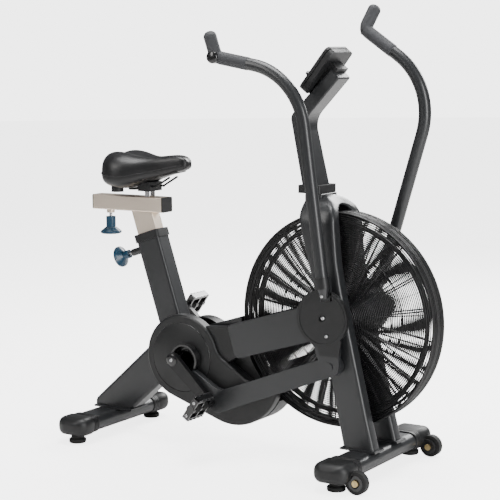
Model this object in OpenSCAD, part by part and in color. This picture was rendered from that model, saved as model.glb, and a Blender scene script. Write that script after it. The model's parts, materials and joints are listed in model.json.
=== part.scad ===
// Air bike: an upright exercise bike whose pedals and swinging levers drive a caged fan.
// +X points forward, to the fan. +Y points to the rider's left. +Z points up, and the feet stand on Z = 0.
// Outlines in side view are lists of [x, z, corner radius].

/* [Frame] */
// Distance from the rear feet to the front feet
wheelbase = 995; // [960:5:1020]
// Width of the rear foot bar, over its end caps
rear_bar_w = 504; // [440:2:560]
// Width of the front foot bar, over its end caps
front_bar_w = 590; // [570:2:640]
// Wall of the square steel tubes
tube_wall = 3.5; // [2.5:0.5:4.5]
/* [Fan] */
// Outer radius of the fan cage
cage_r = 330; // [320:1:332]
// Number of fan blades
blade_count = 26; // [16:1:32]
/* [Drive] */
// Length of a crank, from the axle to the pedal spindle
crank_len = 185; // [165:1:188]
// Angle of the right crank at rest, from straight forward
crank_angle = -42; // [-44:1:-40]
// Offset of the eccentric discs that drive the levers, from the crank axle
crank_throw = 31; // [28:0.5:31]
/* [Levers] */
// Diameter of the lever tube
lever_tube_d = 38; // [32:1:40]
// Angle between the two levers at rest
lever_split = 24.5; // [20:0.5:28]
/* [Seat] */
// Lean of the seat tube, back from upright
seat_lean = 18; // [17:0.5:19]
// Length of the saddle slider tube
slider_len = 288; // [280:1:288]
/* [Console] */
// Width of the console
console_w = 130; // [110:1:150]
// Diameter of the two console buttons
button_d = 14; // [10:1:16]

/* [Hidden] */
$fn = 64;
gap = 0.05;        // running clearance of a shaft in its hole, on the radius
touch_gap = 0.4;   // clearance of a sliding tube or a flat face that moves

// Places in side view, as [x, z]
front_x = 420;
rear_x = front_x - wheelbase;
fan_c = [303, 461];
pivot_c = [312, 481];
crank_c = [-237, 298];
jack_c = [20, 386];
seat_top = [-386, 603];

// Depths, measured from the middle plane to the side
beam_hw = 38;          // half width of the main beam
leg_in = 48;           // inner face of a leg and of a side arm
leg_out = 94;          // outer face of a leg and of a side arm
cover_in = 40;         // inner face of the drive housing
cover_out = 84;        // outer face of the drive housing
link_in = 96.5;        // inner face of a link
link_out = 118;        // outer face of a link
arm_in = 120;          // inner face of a crank arm and of a lever's plate
crank_out = 137;       // outer face of a crank arm
lever_plate_out = 131; // outer face of a lever's plate
pivot_cover_out = 135; // outer face of a lever's round cover
lever_y = 145;         // middle of the lever tube
pedal_in = 140;
pedal_out = 234;
belt_1 = [54.5, 67.5]; // depth of the first belt, from the crank pulley to the jackshaft
belt_2 = [73, 87];     // depth of the second belt, from the jackshaft to the fan

// Foot bars
bar_w = 104;
bar_h = 52;
bar_z = 56;
cap_w = 116;
cap_h = 62;
cap_len_rear = 102;
cap_len_front = 120;
cap_lap = 34;       // how far a foot bar reaches into its cap
bar_r = 25;
cap_r = 29;
plate_z = bar_z + bar_h / 2;
plate_t = 6;
foot_y_rear = 203;
foot_y_front = 236;
wheel_x = front_x + 72;
wheel_r = 34;
wheel_y = [230, 252];
wheel_bolt_r = 6;

// Pulley radii and belt thickness
crank_pulley_r = 90;
jack_small_r = 25;
jack_large_r = 36;
fan_pulley_r = 20;
belt_t = 3;
crank_axle_r = 12;
axle_end_r = 10;
jack_r = 8;
fan_axle_r = 8.5;
bb_r = 26;
bearing_r = 21;
fan_bearing_r = 17.5;
spindle_r = 7;
eccentric_r = 45;
ring_r = 43.5;     // opening of the ring at a link's rear end
link_pin_r = 8;
pivot_shaft_r = 15;

// Seat
post_w = 80;
post_t = 44;
seat_tube_w = 90;
seat_tube_t = 66;
slider_z = [752, 801];
slider_hw = 28;
slider_rear = -633;
slider_wall = 4;
slider_front = slider_rear + slider_len;
stem_x = -414;
stem_y = 15;
slider_knob_x = -578;

function dir(angle) = [cos(angle), sin(angle)];
function bearing_of(v) = atan2(v[1], v[0]);
function unit(v) = v / norm(v);
function wrap(a) = a > 180 ? a - 360 : a <= -180 ? a + 360 : a;

// One rounded corner of an outline, as points on its arc
function corner(a, v, b, r) =
  let (u = unit(a - v), w = unit(b - v), half = acos(u * w) / 2)
  r < 0.01 ? [v] :
  let (c = v + unit(u + w) * r / sin(half), t = r / tan(half),
       a0 = bearing_of(v + u * t - c), turn = wrap(bearing_of(v + w * t - c) - a0),
       n = max(2, ceil(abs(turn) / 9)))
  [for (i = [0:n]) c + r * dir(a0 + turn * i / n)];

// A whole outline with its corners rounded, from [x, z, radius] points
function rounded(pts) =
  let (n = len(pts), p = [for (q = pts) [q[0], q[1]]])
  [for (i = [0:n - 1]) each corner(p[(i + n - 1) % n], p[i], p[(i + 1) % n], pts[i][2])];

// The same outline moved in by d, for a counter-clockwise list
function inset(pts, d) =
  let (n = len(pts), p = [for (q = pts) [q[0], q[1]]])
  [for (i = [0:n - 1])
    let (u = unit(p[i] - p[(i + n - 1) % n]), w = unit(p[(i + 1) % n] - p[i]),
         nu = [-u[1], u[0]], nw = [-w[1], w[0]], s = nu + nw, m = s * (2 * d / (s * s)))
    [p[i][0] + m[0], p[i][1] + m[1], max(0, pts[i][2] - d)]];

// A side-view outline given depth from y0 to y1
module side_plate(y0, y1) {
  translate([0, y1, 0]) rotate([90, 0, 0]) linear_extrude(y1 - y0) children();
}

// Both sides of the machine
module both_sides() {
  children();
  mirror([0, 1, 0]) children();
}

// A round bar along Y at a side-view point
module bar_y(c, r, y0, y1) {
  translate([c[0], y0, c[1]]) rotate([-90, 0, 0]) cylinder(r = r, h = y1 - y0);
}

// A ring along Y
module ring_y(c, r_out, r_in, y0, y1) {
  difference() {
    bar_y(c, r_out, y0, y1);
    bar_y(c, r_in, y0 - 1, y1 + 1);
  }
}

// A round bar between two points in space
module rod(p, q, r) {
  v = q - p;
  translate(p) rotate([0, acos(v[2] / norm(v)), atan2(v[1], v[0])]) cylinder(r = r, h = norm(v));
}

module rounded_rect(w, h, r) {
  square([w - 2 * r, h], center = true);
  square([w, h - 2 * r], center = true);
  for (x = [-1, 1], y = [-1, 1]) translate([x * (w / 2 - r), y * (h / 2 - r)]) circle(r);
}

// A tube of rounded section in the middle plane, from a side-view point along an angle
module beam(start, angle, len, w_y, h, r, wall = 0) {
  translate([start[0], 0, start[1]]) rotate([0, -angle, 0]) rotate([90, 0, 90])
    linear_extrude(len) difference() {
      rounded_rect(w_y, h, r);
      if (wall > 0) rounded_rect(w_y - 2 * wall, h - 2 * wall, r - wall);
    }
}

// Two circles and the straight sides that touch both
module capsule(a, ra, b, rb) {
  d = norm(b - a);
  lean = asin((ra - rb) / d);
  base = bearing_of(b - a);
  up = base + 90 - lean;
  down = base - 90 + lean;
  translate(a) circle(ra);
  translate(b) circle(rb);
  polygon([a + ra * dir(up), a + ra * dir(down), b + rb * dir(down), b + rb * dir(up)]);
}

// Ends of the two links, at the eccentrics and at the levers' pins
function rot2(a) = [[cos(a), -sin(a)], [sin(a), cos(a)]];
pin_from_pivot = [25, -144];
right_rear = crank_c + [crank_throw, 0];
left_rear = crank_c - [crank_throw, 0];
right_front = pivot_c + pin_from_pivot;
left_front = pivot_c + rot2(-lever_split) * pin_from_pivot;

// The same shape as a capsule, as one list of points
function capsule_points(a, ra, b, rb, n = 40) =
  let (lean = asin((ra - rb) / norm(b - a)), base = bearing_of(b - a), half = 90 - lean)
  concat([for (i = [0:n]) a + ra * dir(base + half + i * (360 - 2 * half) / n)],
         [for (i = [0:n]) b + rb * dir(base - half + i * 2 * half / n)]);

/* ---------- outlines in side view ---------- */
arm_angle = 16.7;
arm_h = 108;
arm_start = [-38, 368.6];
beam_angle = 17.5;
beam_h = 130;
beam_mid = [-73, 362];
beam_start = beam_mid - 245 * dir(beam_angle);
rear_angle = 41.5;
rear_h = 118;
rear_start = [-555.8, 96.7];
rear_w = 68;
leg_foot_z = plate_z + plate_t;
leg_outline = [[211, 740, 0], [232, 662, 300], [256, 573, 300], [360, leg_foot_z, 0], [466, leg_foot_z, 0],
               [441, 182, 600], [352, 565, 600], [338, 645, 200], [330, 740, 0]];
yoke_outline = [[211, 740, 0], [330, 740, 0], [318, 806, 30], [268, 842, 60], [202, 842, 6], [202, 780, 60]];
mast_outline = [[187, 843, 0], [243, 843, 0], [243, 866, 0], [196, 1062, 66], [316, 1188, 6], [286, 1218, 6],
                [146, 1074, 26], [187, 866, 0]];

module arm_shape(inset_by = 0, past = 0) {
  h = arm_h - 2 * inset_by;
  translate(arm_start) rotate(arm_angle) translate([-past, -h / 2]) square([420, h]);
}

module main_beam_shape(inset_by = 0) {
  h = beam_h - 2 * inset_by;
  difference() {
    translate(beam_start) rotate(beam_angle) translate([inset_by, -h / 2]) square([330, h]);
    translate(fan_c) circle(cage_r + 9 + inset_by, $fn = 180);
  }
}

module rear_beam_shape() {
  translate(rear_start) rotate(rear_angle) translate([-200, -rear_h / 2]) square([520, rear_h]);
}

module seat_tube_shape() {
  translate(seat_top) rotate(90 + seat_lean) translate([-320, -seat_tube_w / 2]) square([400, seat_tube_w]);
}

/* ---------- frame ---------- */
module foot_bar(x, len) {
  side_plate(-len / 2, len / 2) translate([x, bar_z]) difference() {
    rounded_rect(bar_w, bar_h, bar_r);
    rounded_rect(bar_w - 2 * tube_wall, bar_h - 2 * tube_wall, bar_r - tube_wall);
  }
}

module rear_stabilizer() {
  color("dimgray") {
    foot_bar(rear_x, rear_bar_w - 2 * cap_len_rear + 2 * cap_lap - 2);
    translate([rear_x - 54, -rear_w / 2 - 12, plate_z]) cube([156, rear_w + 24, plate_t]);
  }
}

module front_stabilizer() {
  color("dimgray") {
    foot_bar(front_x, front_bar_w - 2 * cap_len_front + 2 * cap_lap - 2);
    both_sides() translate([354, leg_in - 6, plate_z]) cube([120, leg_out - leg_in + 12, plate_t]);
  }
}

// One end cap, a sleeve over the foot bar that is rounded in plan
module end_cap(x, y_in, y_out) {
  difference() {
    intersection() {
      side_plate(y_in, y_out) translate([x, bar_z + 1]) rounded_rect(cap_w, cap_h, cap_r);
      translate([x - cap_w / 2, 0, 0]) linear_extrude(200)
        polygon(rounded([[0, y_in - 60, 0], [cap_w, y_in - 60, 0], [cap_w, y_out, 44], [0, y_out, 44]]));
    }
    side_plate(y_in - 1, y_in + cap_lap) translate([x, bar_z]) rounded_rect(bar_w, bar_h, bar_r);
  }
}

module rear_end_caps() {
  color("#26272a") both_sides() end_cap(rear_x, rear_bar_w / 2 - cap_len_rear, rear_bar_w / 2);
}

module front_end_caps() {
  lug_y = [220, wheel_y[0] - touch_gap];
  color("#26272a") both_sides() difference() {
    union() {
      end_cap(front_x, front_bar_w / 2 - cap_len_front, front_bar_w / 2);
      side_plate(lug_y[0], lug_y[1]) {
        translate([wheel_x, wheel_r]) circle(22);
        translate([front_x + bar_w / 2, wheel_r - 6]) square([wheel_x - front_x - bar_w / 2, 28]);
      }
    }
    bar_y([wheel_x, wheel_r], wheel_bolt_r, 200, 260);
    bar_y([wheel_x, wheel_r], wheel_r + 3, wheel_y[0] - touch_gap, wheel_y[1] + 3);
  }
}

module feet() {
  color("#151515") both_sides()
    for (p = [[rear_x, foot_y_rear], [front_x, foot_y_front]]) translate([p[0], p[1], 0])
      rotate_extrude() polygon([[0, 0], [26, 0], [28, 3], [28, 12], [21, 17], [21, 26], [0, 26]]);
}

module rear_beam() {
  color("#3a3d41") difference() {
    beam(rear_start - 90 * dir(rear_angle), rear_angle, 400, rear_w, rear_h, 12, tube_wall);
    translate([-800, -60, -100]) cube([500, 120, 100 + plate_z + plate_t]);
    translate([-900, -60, 0]) cube([900 + rear_x - 54, 120, 500]);
    side_plate(-60, 60) {
      main_beam_shape();
      seat_tube_shape();
    }
    translate([-320, -60, 60]) cube([300, 120, 500]);
  }
}

module main_beam() {
  color("#34373b") difference() {
    union() {
      difference() {
        side_plate(-beam_hw, beam_hw) main_beam_shape();
        side_plate(-beam_hw + tube_wall, beam_hw - tube_wall) main_beam_shape(tube_wall);
      }
      bar_y(crank_c, bb_r, -beam_hw - 2, beam_hw + 2);
      both_sides() side_plate(beam_hw, leg_in) polygon([[-46, 345], [-20, 345], [-28, 402], [-46, 402]]);
    }
    bar_y(crank_c, bearing_r, -60, 60);
  }
}

module seat_tube() {
  sleeve_at = seat_top + 38 * dir(90 + seat_lean);
  back = 180 + seat_lean;
  color("#3a3d41") difference() {
    union() {
      difference() {
        beam(seat_top - 300 * dir(90 + seat_lean), 90 + seat_lean, 361, seat_tube_t, seat_tube_w, 10);
        beam(seat_top - 301 * dir(90 + seat_lean), 90 + seat_lean, 363, seat_tube_t - 2 * tube_wall,
             seat_tube_w - 2 * tube_wall, 10 - tube_wall);
      }
      translate([sleeve_at[0], 0, sleeve_at[1]]) rotate([0, -back, 0]) rotate([0, 90, 0])
        translate([0, 0, seat_tube_w / 2 - 1]) cylinder(r = 12, h = 50);
    }
    translate([sleeve_at[0], 0, sleeve_at[1]]) rotate([0, -back, 0]) rotate([0, 90, 0])
      translate([0, 0, seat_tube_w / 2 - 10]) cylinder(r = 6 + gap, h = 80);
    side_plate(-60, 60) main_beam_shape();
  }
}

module seat_tube_collar() {
  from = seat_top + 61 * dir(90 + seat_lean);
  color("#101113") difference() {
    union() {
      beam(from, 90 + seat_lean, 26, seat_tube_t + 8, seat_tube_w + 8, 12);
      beam(from - 40 * dir(90 + seat_lean), 90 + seat_lean, 41, seat_tube_t - 2 * tube_wall - 0.2,
           seat_tube_w - 2 * tube_wall - 0.2, 8);
    }
    beam(from - 50 * dir(90 + seat_lean), 90 + seat_lean, 90, post_t + 2 * touch_gap,
         post_w + 2 * touch_gap, 6);
    // clearance for the height pin
    translate([from[0], 0, from[1]]) rotate([0, -90 - seat_lean, 0]) translate([-40, -16, 35])
      cube([34, 32, 20]);
  }
}

module side_arms() {
  color("#45484c") both_sides() difference() {
    side_plate(leg_in, leg_out) difference() {
      arm_shape();
      polygon(rounded(leg_outline));
      polygon([[280, 300], [600, 300], [600, 700], [230, 700], [256, 573]]);
    }
    side_plate(leg_in + tube_wall, leg_out - tube_wall) arm_shape(tube_wall, 1);
    bar_y(jack_c, 14, leg_in - 1, leg_out - tube_wall);
  }
}

// One leg of the fork, hollow, with the fan bearing inside and the lever's pivot shaft outside
module leg() {
  wall = tube_wall;
  difference() {
    union() {
      difference() {
        side_plate(leg_in, leg_out) polygon(rounded(leg_outline));
        side_plate(leg_in + wall, leg_out - wall) polygon(rounded(inset(leg_outline, wall)));
      }
      bar_y(fan_c, 24, leg_in, leg_in + 16);
      bar_y(pivot_c, 30, leg_out - 1, leg_out + 1);
      bar_y(pivot_c, 50, leg_out, link_out - 2);
      bar_y(pivot_c, pivot_shaft_r, leg_out - 1, lever_plate_out - 0.2);
    }
    bar_y(fan_c, fan_bearing_r, leg_in - 1, leg_in + 17);
    side_plate(leg_in + wall, leg_out - wall) intersection() {
      arm_shape(wall);
      translate(fan_c) circle(90);
    }
  }
}

module leg_left() {
  color("#45484c") leg();
}

module leg_right() {
  color("#45484c") mirror([0, 1, 0]) leg();
}

module yoke() {
  arch_z = 746;
  inner_z = 760;
  color("#4a4e53") difference() {
    intersection() {
      side_plate(-leg_out, leg_out) polygon(rounded(yoke_outline));
      translate([100, 0, 0]) rotate([90, 0, 90]) linear_extrude(300) {
        translate([0, arch_z]) circle(leg_out, $fn = 120);
        translate([-leg_out, 700]) square([2 * leg_out, arch_z - 700]);
        translate([-48, 780]) square([96, 62]);
      }
    }
    translate([100, 0, 0]) rotate([90, 0, 90]) linear_extrude(300) {
      translate([0, inner_z]) circle(leg_in, $fn = 96);
      translate([-leg_in, 600]) square([2 * leg_in, inner_z - 600]);
    }
  }
}

module mast_collar() {
  color("#101113") difference() {
    translate([180, 0, 843]) linear_extrude(24) translate([39, 0]) rounded_rect(78, 104, 8);
    side_plate(-38, 38) polygon(rounded(mast_outline));
  }
}

module mast() {
  hw = 37.5;
  color("#3c4045") difference() {
    side_plate(-hw, hw) polygon(rounded(mast_outline));
    side_plate(-hw + 3, hw - 3) polygon(rounded(inset(mast_outline, 3)));
  }
}

// The console's own axes: X up its slope, Z out of its face
console_slope = 51.3;
console_at = [192, 1160];
console_len = 155;
console_t = 27;
module on_console() {
  translate([console_at[0], 0, console_at[1]]) rotate([0, -console_slope, 0]) children();
}

module console_bracket() {
  color("#17181a") difference() {
    on_console() translate([45, -32, -console_t - 30]) cube([72, 64, 30]);
    side_plate(-60, 60) polygon(rounded(mast_outline));
  }
}

module console_case() {
  ledge_x = 40;
  color("#191a1c") on_console() difference() {
    union() {
      translate([console_len / 2, 0, -console_t]) linear_extrude(15) rounded_rect(console_len, console_w, 16);
      translate([console_len / 2, 0, -console_t + 15]) linear_extrude(3)
        rounded_rect(console_len - 6, console_w - 6, 14);
      translate([console_len / 2, 0, -console_t + 18]) linear_extrude(9)
        rounded_rect(console_len, console_w, 16);
      translate([ledge_x, 0, -1]) rotate([90, 0, 90]) linear_extrude(7)
        polygon(rounded([[-46, 0, 0], [46, 0, 0], [42, 22, 12], [-42, 22, 12]]));
    }
    translate([55, -46, -6]) cube([86, 92, 10]);
    for (y = [-26, 26]) translate([22, y, -8]) cylinder(d = button_d + 2 * touch_gap, h = 20);
  }
}

module console_screen() {
  color("#1d2a33") on_console() translate([55, -46, -6]) cube([86, 92, 4]);
}

module button(y) {
  on_console() translate([22, y, -5.5]) {
    cylinder(d = button_d, h = 7.5);
  }
}

module button_start() {
  color("#2f7d4f") button(26);
}

module button_stop() {
  color("#a33a32") button(-26);
}

/* ---------- drive housing ---------- */
drum_r = 137;
left_drum_r = 112;
housing_wall = 3;
// Radii of the round panels over the crank
right_panel_r = 112;
left_panel_r = 90;
lobe_c = [-45, 272];
lobe_r = 173;
tail_top = [[-237, 300], [-101.7, 321.4], [7, 252], [150, 215]];
s_curve_c = [-49, 359];
s_curve_r = 60;

// Everything below the housing's descending top edge
module below_tail_edge() {
  polygon(concat(tail_top, [[150, 0], [-500, 0], [-500, 300]]));
}

module right_housing_shape(r = drum_r, lobe = lobe_r) {
  translate(crank_c) circle(r, $fn = 180);
  intersection() {
    capsule(crank_c, r, lobe_c, lobe, $fn = 180);
    below_tail_edge();
  }
  difference() {
    polygon([crank_c, s_curve_c, s_curve_c - s_curve_r * [0.538, 0.843], [-101.7, 300]]);
    translate(s_curve_c) circle(s_curve_r, $fn = 120);
  }
}

module belt_neck_shape(r_add) {
  capsule(crank_c, crank_pulley_r + r_add, jack_c, jack_small_r + r_add);
}

module housing_right() {
  wall = housing_wall;
  color("#2a2c2f") mirror([0, 1, 0]) difference() {
    union() {
      side_plate(cover_in, cover_out) right_housing_shape();
      side_plate(leg_in + 5, 71) intersection() {
        belt_neck_shape(10);
        translate([-200, 250]) square([156, 300]);
      }
    }
    side_plate(cover_in - 1, cover_out - wall) {
      translate(crank_c) circle(drum_r - wall, $fn = 180);
      intersection() {
        capsule(crank_c, drum_r - wall, lobe_c, lobe_r - wall, $fn = 180);
        translate([0, -5]) below_tail_edge();
      }
    }
    side_plate(50, 68.5) intersection() {
      belt_neck_shape(7.5);
      translate([-200, 250]) square([200, 300]);
    }
    bar_y(crank_c, right_panel_r, cover_out - wall - 1, cover_out + 1);
  }
}

module housing_left() {
  color("#2a2c2f") difference() {
    bar_y(crank_c, left_drum_r, cover_in, cover_out);
    bar_y(crank_c, left_drum_r - housing_wall, cover_in - 1, cover_out - housing_wall);
    bar_y(crank_c, left_panel_r, cover_out - housing_wall - 1, cover_out + 1);
  }
}

// Round panels over the crank, each with a hole for the axle
module crank_covers() {
  color("#242628") {
    ring_y(crank_c, left_panel_r, crank_axle_r + 2, cover_out - housing_wall, cover_out);
    mirror([0, 1, 0]) ring_y(crank_c, right_panel_r, crank_axle_r + 2, cover_out - housing_wall, cover_out);
  }
}

module belly_shape(shrink = 0) {
  difference() {
    intersection() {
      union() {
        polygon(capsule_points(crank_c, 110 - shrink, lobe_c, lobe_r - shrink));
        translate([-300, 260]) square([320, 120]);
      }
      polygon([[-318, 100 + shrink], [-318, 305], [0, 400], [400, 400], [400, 50], [-318, 50]]);
    }
    translate(beam_start) rotate(beam_angle) translate([-200, -beam_h / 2 - shrink]) square([800, 500]);
    translate(fan_c) circle(cage_r + 9 + shrink, $fn = 180);
    if (shrink > 0) translate([-400, 0]) square([85, 400]);
  }
}

module belly_cover() {
  color("#2a2c2f") difference() {
    side_plate(-cover_in + 1, cover_in - 1) belly_shape();
    side_plate(-cover_in + 4, cover_in - 4) belly_shape(3);
    side_plate(-60, 60) rear_beam_shape();
    bar_y(crank_c, bb_r, -60, 60);
  }
}

/* ---------- fan ---------- */
hub_hole_r = 28;
cage_hub_y = 45;
cage_profile = [[hub_hole_r, cage_hub_y], [70, 44.6], [195, 40.3], [302, 40.1], [cage_r - 8, 38.4],
                [cage_r, 32], [cage_r, 0.4]];

// Half of the cage: a shallow dome of rings and spokes
module cage_half() {
  thick = 3;
  ring_count = 8;
  spoke_count = 12;
  inner = [for (p = cage_profile) [p[0] - (p[0] > 310 ? thick : 0), max(0.4, p[1] - thick)]];
  n = len(inner);
  flip = [for (i = [0:n - 1]) inner[n - 1 - i]];
  translate([fan_c[0], 0, fan_c[1]]) rotate([-90, 0, 0]) intersection() {
    rotate_extrude($fn = 180) polygon(concat(cage_profile, flip));
    linear_extrude(60) {
      difference() {
        circle(cage_r + 1, $fn = 180);
        circle(cage_r - 12, $fn = 180);
      }
      for (i = [0:ring_count - 1]) let (r = 40 + i * 38) difference() {
        circle(r + 5, $fn = 120);
        circle(r - 5, $fn = 120);
      }
      for (i = [0:spoke_count - 1]) rotate(i * 360 / spoke_count) translate([hub_hole_r + 4, -2])
        square([cage_r - hub_hole_r - 8, 4]);
    }
  }
}

module cage_left() {
  color("#0e0e0f") cage_half();
}

module cage_right() {
  color("#0e0e0f") mirror([0, 1, 0]) cage_half();
}

module fan_wheel() {
  blade_hw = 16;
  hoop_r = [285, 297];
  hub_r = 38;
  color("#1b1c1e") difference() {
    union() {
      bar_y(fan_c, hub_r, -30, 30);
      ring_y(fan_c, hoop_r[1], hoop_r[1] - 2.5, -blade_hw, blade_hw);
      both_sides() ring_y(fan_c, hoop_r[1], hoop_r[0], blade_hw - 2.5, blade_hw);
      translate([fan_c[0], 0, fan_c[1]]) for (i = [0:blade_count - 1])
        rotate([0, (i + 0.5) * 360 / blade_count, 0]) translate([hub_r - 4, -blade_hw + 2, -1])
          cube([hoop_r[0] + 8 - hub_r, 2 * blade_hw - 4, 2]);
    }
    bar_y(fan_c, fan_axle_r, -40, 40);
  }
}

module fan_axle() {
  color("silver") {
    bar_y(fan_c, fan_axle_r, -89, leg_in + 14);
    mirror([0, 1, 0]) ring_y(fan_c, fan_pulley_r, fan_axle_r - 0.5, belt_2[0], belt_2[1]);
  }
}

/* ---------- drive ---------- */
// The axle, and a round disc set off centre on each side that drives a link
module crank_axle() {
  color("#2c2c2e") {
    bar_y(crank_c, crank_axle_r, -(cover_out + 2), cover_out + 2);
    bar_y(crank_c, axle_end_r, -crank_out, crank_out);
    bar_y(left_rear, eccentric_r, cover_out + 1.5, link_in - 1);
    mirror([0, 1, 0]) bar_y(right_rear, eccentric_r, cover_out + 1.5, link_in - 1);
  }
}

// One crank arm with its pedal spindle
module crank(angle) {
  end = crank_c + crank_len * dir(angle);
  difference() {
    side_plate(arm_in, crank_out) capsule(crank_c, 22, end, 15);
    bar_y(crank_c, axle_end_r, arm_in - 1, crank_out + 1);
  }
  bar_y(end, spindle_r, crank_out, pedal_out - 6);
}

module crank_right() {
  color("#1a1b1c") mirror([0, 1, 0]) crank(crank_angle);
}

module crank_left() {
  color("#1a1b1c") crank(crank_angle + 180);
}

module crank_pulley() {
  color("#4c4f52") mirror([0, 1, 0]) difference() {
    union() {
      bar_y(crank_c, crank_pulley_r, belt_1[0] + 1, belt_1[1] - 1);
      bar_y(crank_c, 24, cover_in + 3, belt_1[1] + 6);
    }
    bar_y(crank_c, crank_axle_r, 30, 100);
    for (i = [0:4]) bar_y(crank_c + 55 * dir(i * 72), 16, 30, 100);
  }
}

module jackshaft() {
  color("#6a6d70") mirror([0, 1, 0]) {
    bar_y(jack_c, jack_r, leg_in + 0.5, leg_out - tube_wall - 0.5);
    bar_y(jack_c, jack_small_r, belt_1[0] + 1, belt_1[1] - 1);
    bar_y(jack_c, jack_large_r, belt_2[0] + 1, belt_2[1] - 1);
  }
}

pedal_len = 78;
pedal_h = 22;
pedal_pitch = 55;
rail_w = 8;
cross_w = 7;
module pedal(angle) {
  c = crank_c + crank_len * dir(angle);
  translate([c[0], 0, c[1]]) rotate([0, -pedal_pitch, 0]) difference() {
    union() {
      bar_y([0, 0], 14, pedal_in, pedal_out);
      for (y = [pedal_in + 4, 186, pedal_out - 8]) translate([-pedal_len / 2, y, -pedal_h / 2])
        cube([pedal_len, cross_w, pedal_h]);
      for (x = [-1, 1]) translate([x * (pedal_len - rail_w) / 2 - rail_w / 2, pedal_in + 4, -pedal_h / 2])
        cube([rail_w, pedal_out - pedal_in - 8, pedal_h]);
    }
    bar_y([0, 0], spindle_r + gap, pedal_in - 1, pedal_out - 5);
  }
}

module pedal_right() {
  color("#161616") mirror([0, 1, 0]) pedal(crank_angle);
}

module pedal_left() {
  color("#161616") pedal(crank_angle + 180);
}

// A belt round two pulleys, as a closed loop
module belt(a, ra, b, rb, y) {
  mirror([0, 1, 0]) side_plate(y[0] + 2, y[1] - 2) difference() {
    polygon(capsule_points(a, ra + belt_t + touch_gap, b, rb + belt_t + touch_gap));
    polygon(capsule_points(a, ra + touch_gap, b, rb + touch_gap));
  }
}

module drive_belts() {
  color("#0c0c0c") {
    belt(crank_c, crank_pulley_r, jack_c, jack_small_r, belt_1);
    belt(jack_c, jack_large_r, fan_c, fan_pulley_r, belt_2);
  }
}

module bearings() {
  color("silver") {
    both_sides() {
      ring_y(crank_c, bearing_r, crank_axle_r + gap, beam_hw - 12, beam_hw);
      ring_y(fan_c, fan_bearing_r, fan_axle_r + gap, leg_in + 2, leg_in + 13);
    }
    mirror([0, 1, 0]) {
      ring_y(jack_c, 14, jack_r + gap, leg_in, leg_in + tube_wall);
      ring_y(jack_c, 14, jack_r + gap, leg_out - tube_wall - 3, leg_out - tube_wall);
    }
  }
}

/* ---------- seat ---------- */
module seat_post() {
  low = seat_top - 170 * dir(90 + seat_lean);
  color("#c9bfb2") difference() {
    beam(low, 90 + seat_lean, 420, post_t, post_w, 5);
    beam(low - dir(90 + seat_lean), 90 + seat_lean, 422, post_t - 8, post_w - 8, 2);
    translate([-800, -60, slider_z[0]]) cube([800, 120, 200]);
    for (i = [0:8]) let (c = seat_top + (38 - i * 20) * dir(90 + seat_lean))
      translate([c[0], 0, c[1]]) rotate([0, -180 - seat_lean, 0]) rotate([0, 90, 0])
        translate([0, 0, 20]) cylinder(r = 6, h = 40);
  }
}

module slider_tube() {
  z0 = slider_z[0];
  z1 = slider_z[1];
  color("#cfc6ba") difference() {
    union() {
      difference() {
        translate([slider_rear + 4, 0, (z0 + z1) / 2]) rotate([90, 0, 90]) linear_extrude(slider_len - 8)
          difference() {
            rounded_rect(2 * slider_hw, z1 - z0, 4);
            rounded_rect(2 * (slider_hw - slider_wall), z1 - z0 - 2 * slider_wall, 2);
          }
        for (s = [-1, 1]) translate([stem_x - 8 - 32, s * stem_y - 2.5, z1 - 8]) cube([16 + 54, 5, 20]);
      }
      translate([slider_knob_x, 0, z0 - 12]) cylinder(r = 13, h = 12.5);
    }
    translate([slider_knob_x, 0, z0 - 20]) cylinder(r = 5 + gap, h = 30);
  }
}

module slider_end_caps() {
  h = slider_z[1] - slider_z[0];
  color("#131415") for (x = [slider_rear, slider_front - 4]) translate([x, 0, slider_z[0] + h / 2])
    rotate([90, 0, 90]) linear_extrude(4) rounded_rect(2 * slider_hw, h, 5);
}

// A pull knob, made along its own +Z, which points out of the tube
module knob(neck_r, neck_len, flange_r) {
  rotate_extrude() polygon([[0, 0], [neck_r, 0], [neck_r, neck_len], [flange_r - 4, neck_len + 12],
    [flange_r, neck_len + 15], [flange_r, neck_len + 20], [flange_r - 4, neck_len + 23], [0, neck_len + 23]]);
}

module on_height_knob() {
  at = seat_top + 38 * dir(90 + seat_lean);
  translate([at[0], 0, at[1]]) rotate([0, -180 - seat_lean, 0]) rotate([0, 90, 0]) children();
}

module height_knob() {
  color("#0b4a78") on_height_knob() difference() {
    translate([0, 0, 109]) knob(14, 22, 35);
    translate([0, 0, 108]) cylinder(r = 6, h = 20);
  }
}

module height_pin() {
  color("silver") on_height_knob() translate([0, 0, post_w / 2 + touch_gap]) cylinder(r = 6, h = 85);
}

module slider_knob() {
  color("#0b4a78") difference() {
    translate([slider_knob_x, 0, slider_z[0] - 25]) mirror([0, 0, 1]) knob(16, 34, 35);
    translate([slider_knob_x, 0, slider_z[0] - 47]) cylinder(r = 5, h = 23);
  }
}

module slider_pin() {
  color("silver") translate([slider_knob_x, 0, slider_z[0] - 47]) cylinder(r = 5, h = 47 + slider_wall + 1);
}

module saddle_carriage() {
  z0 = slider_z[0] + slider_wall + 2;
  color("#b9bcc0") {
    translate([-598, -20, z0]) cube([208, 40, 30]);
    for (s = [-1, 1]) translate([stem_x - 8, s * stem_y - 2, z0 + 30]) cube([16, 4, 820 - z0 - 30]);
  }
}

module saddle_clamp() {
  color("#161718") difference() {
    translate([stem_x - 24, -34, 820]) cube([48, 68, 30]);
    for (s = [-1, 1]) translate([stem_x - 30, s * 22, 836]) rotate([0, 90, 0]) cylinder(r = 3.5, h = 60);
  }
}

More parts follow.
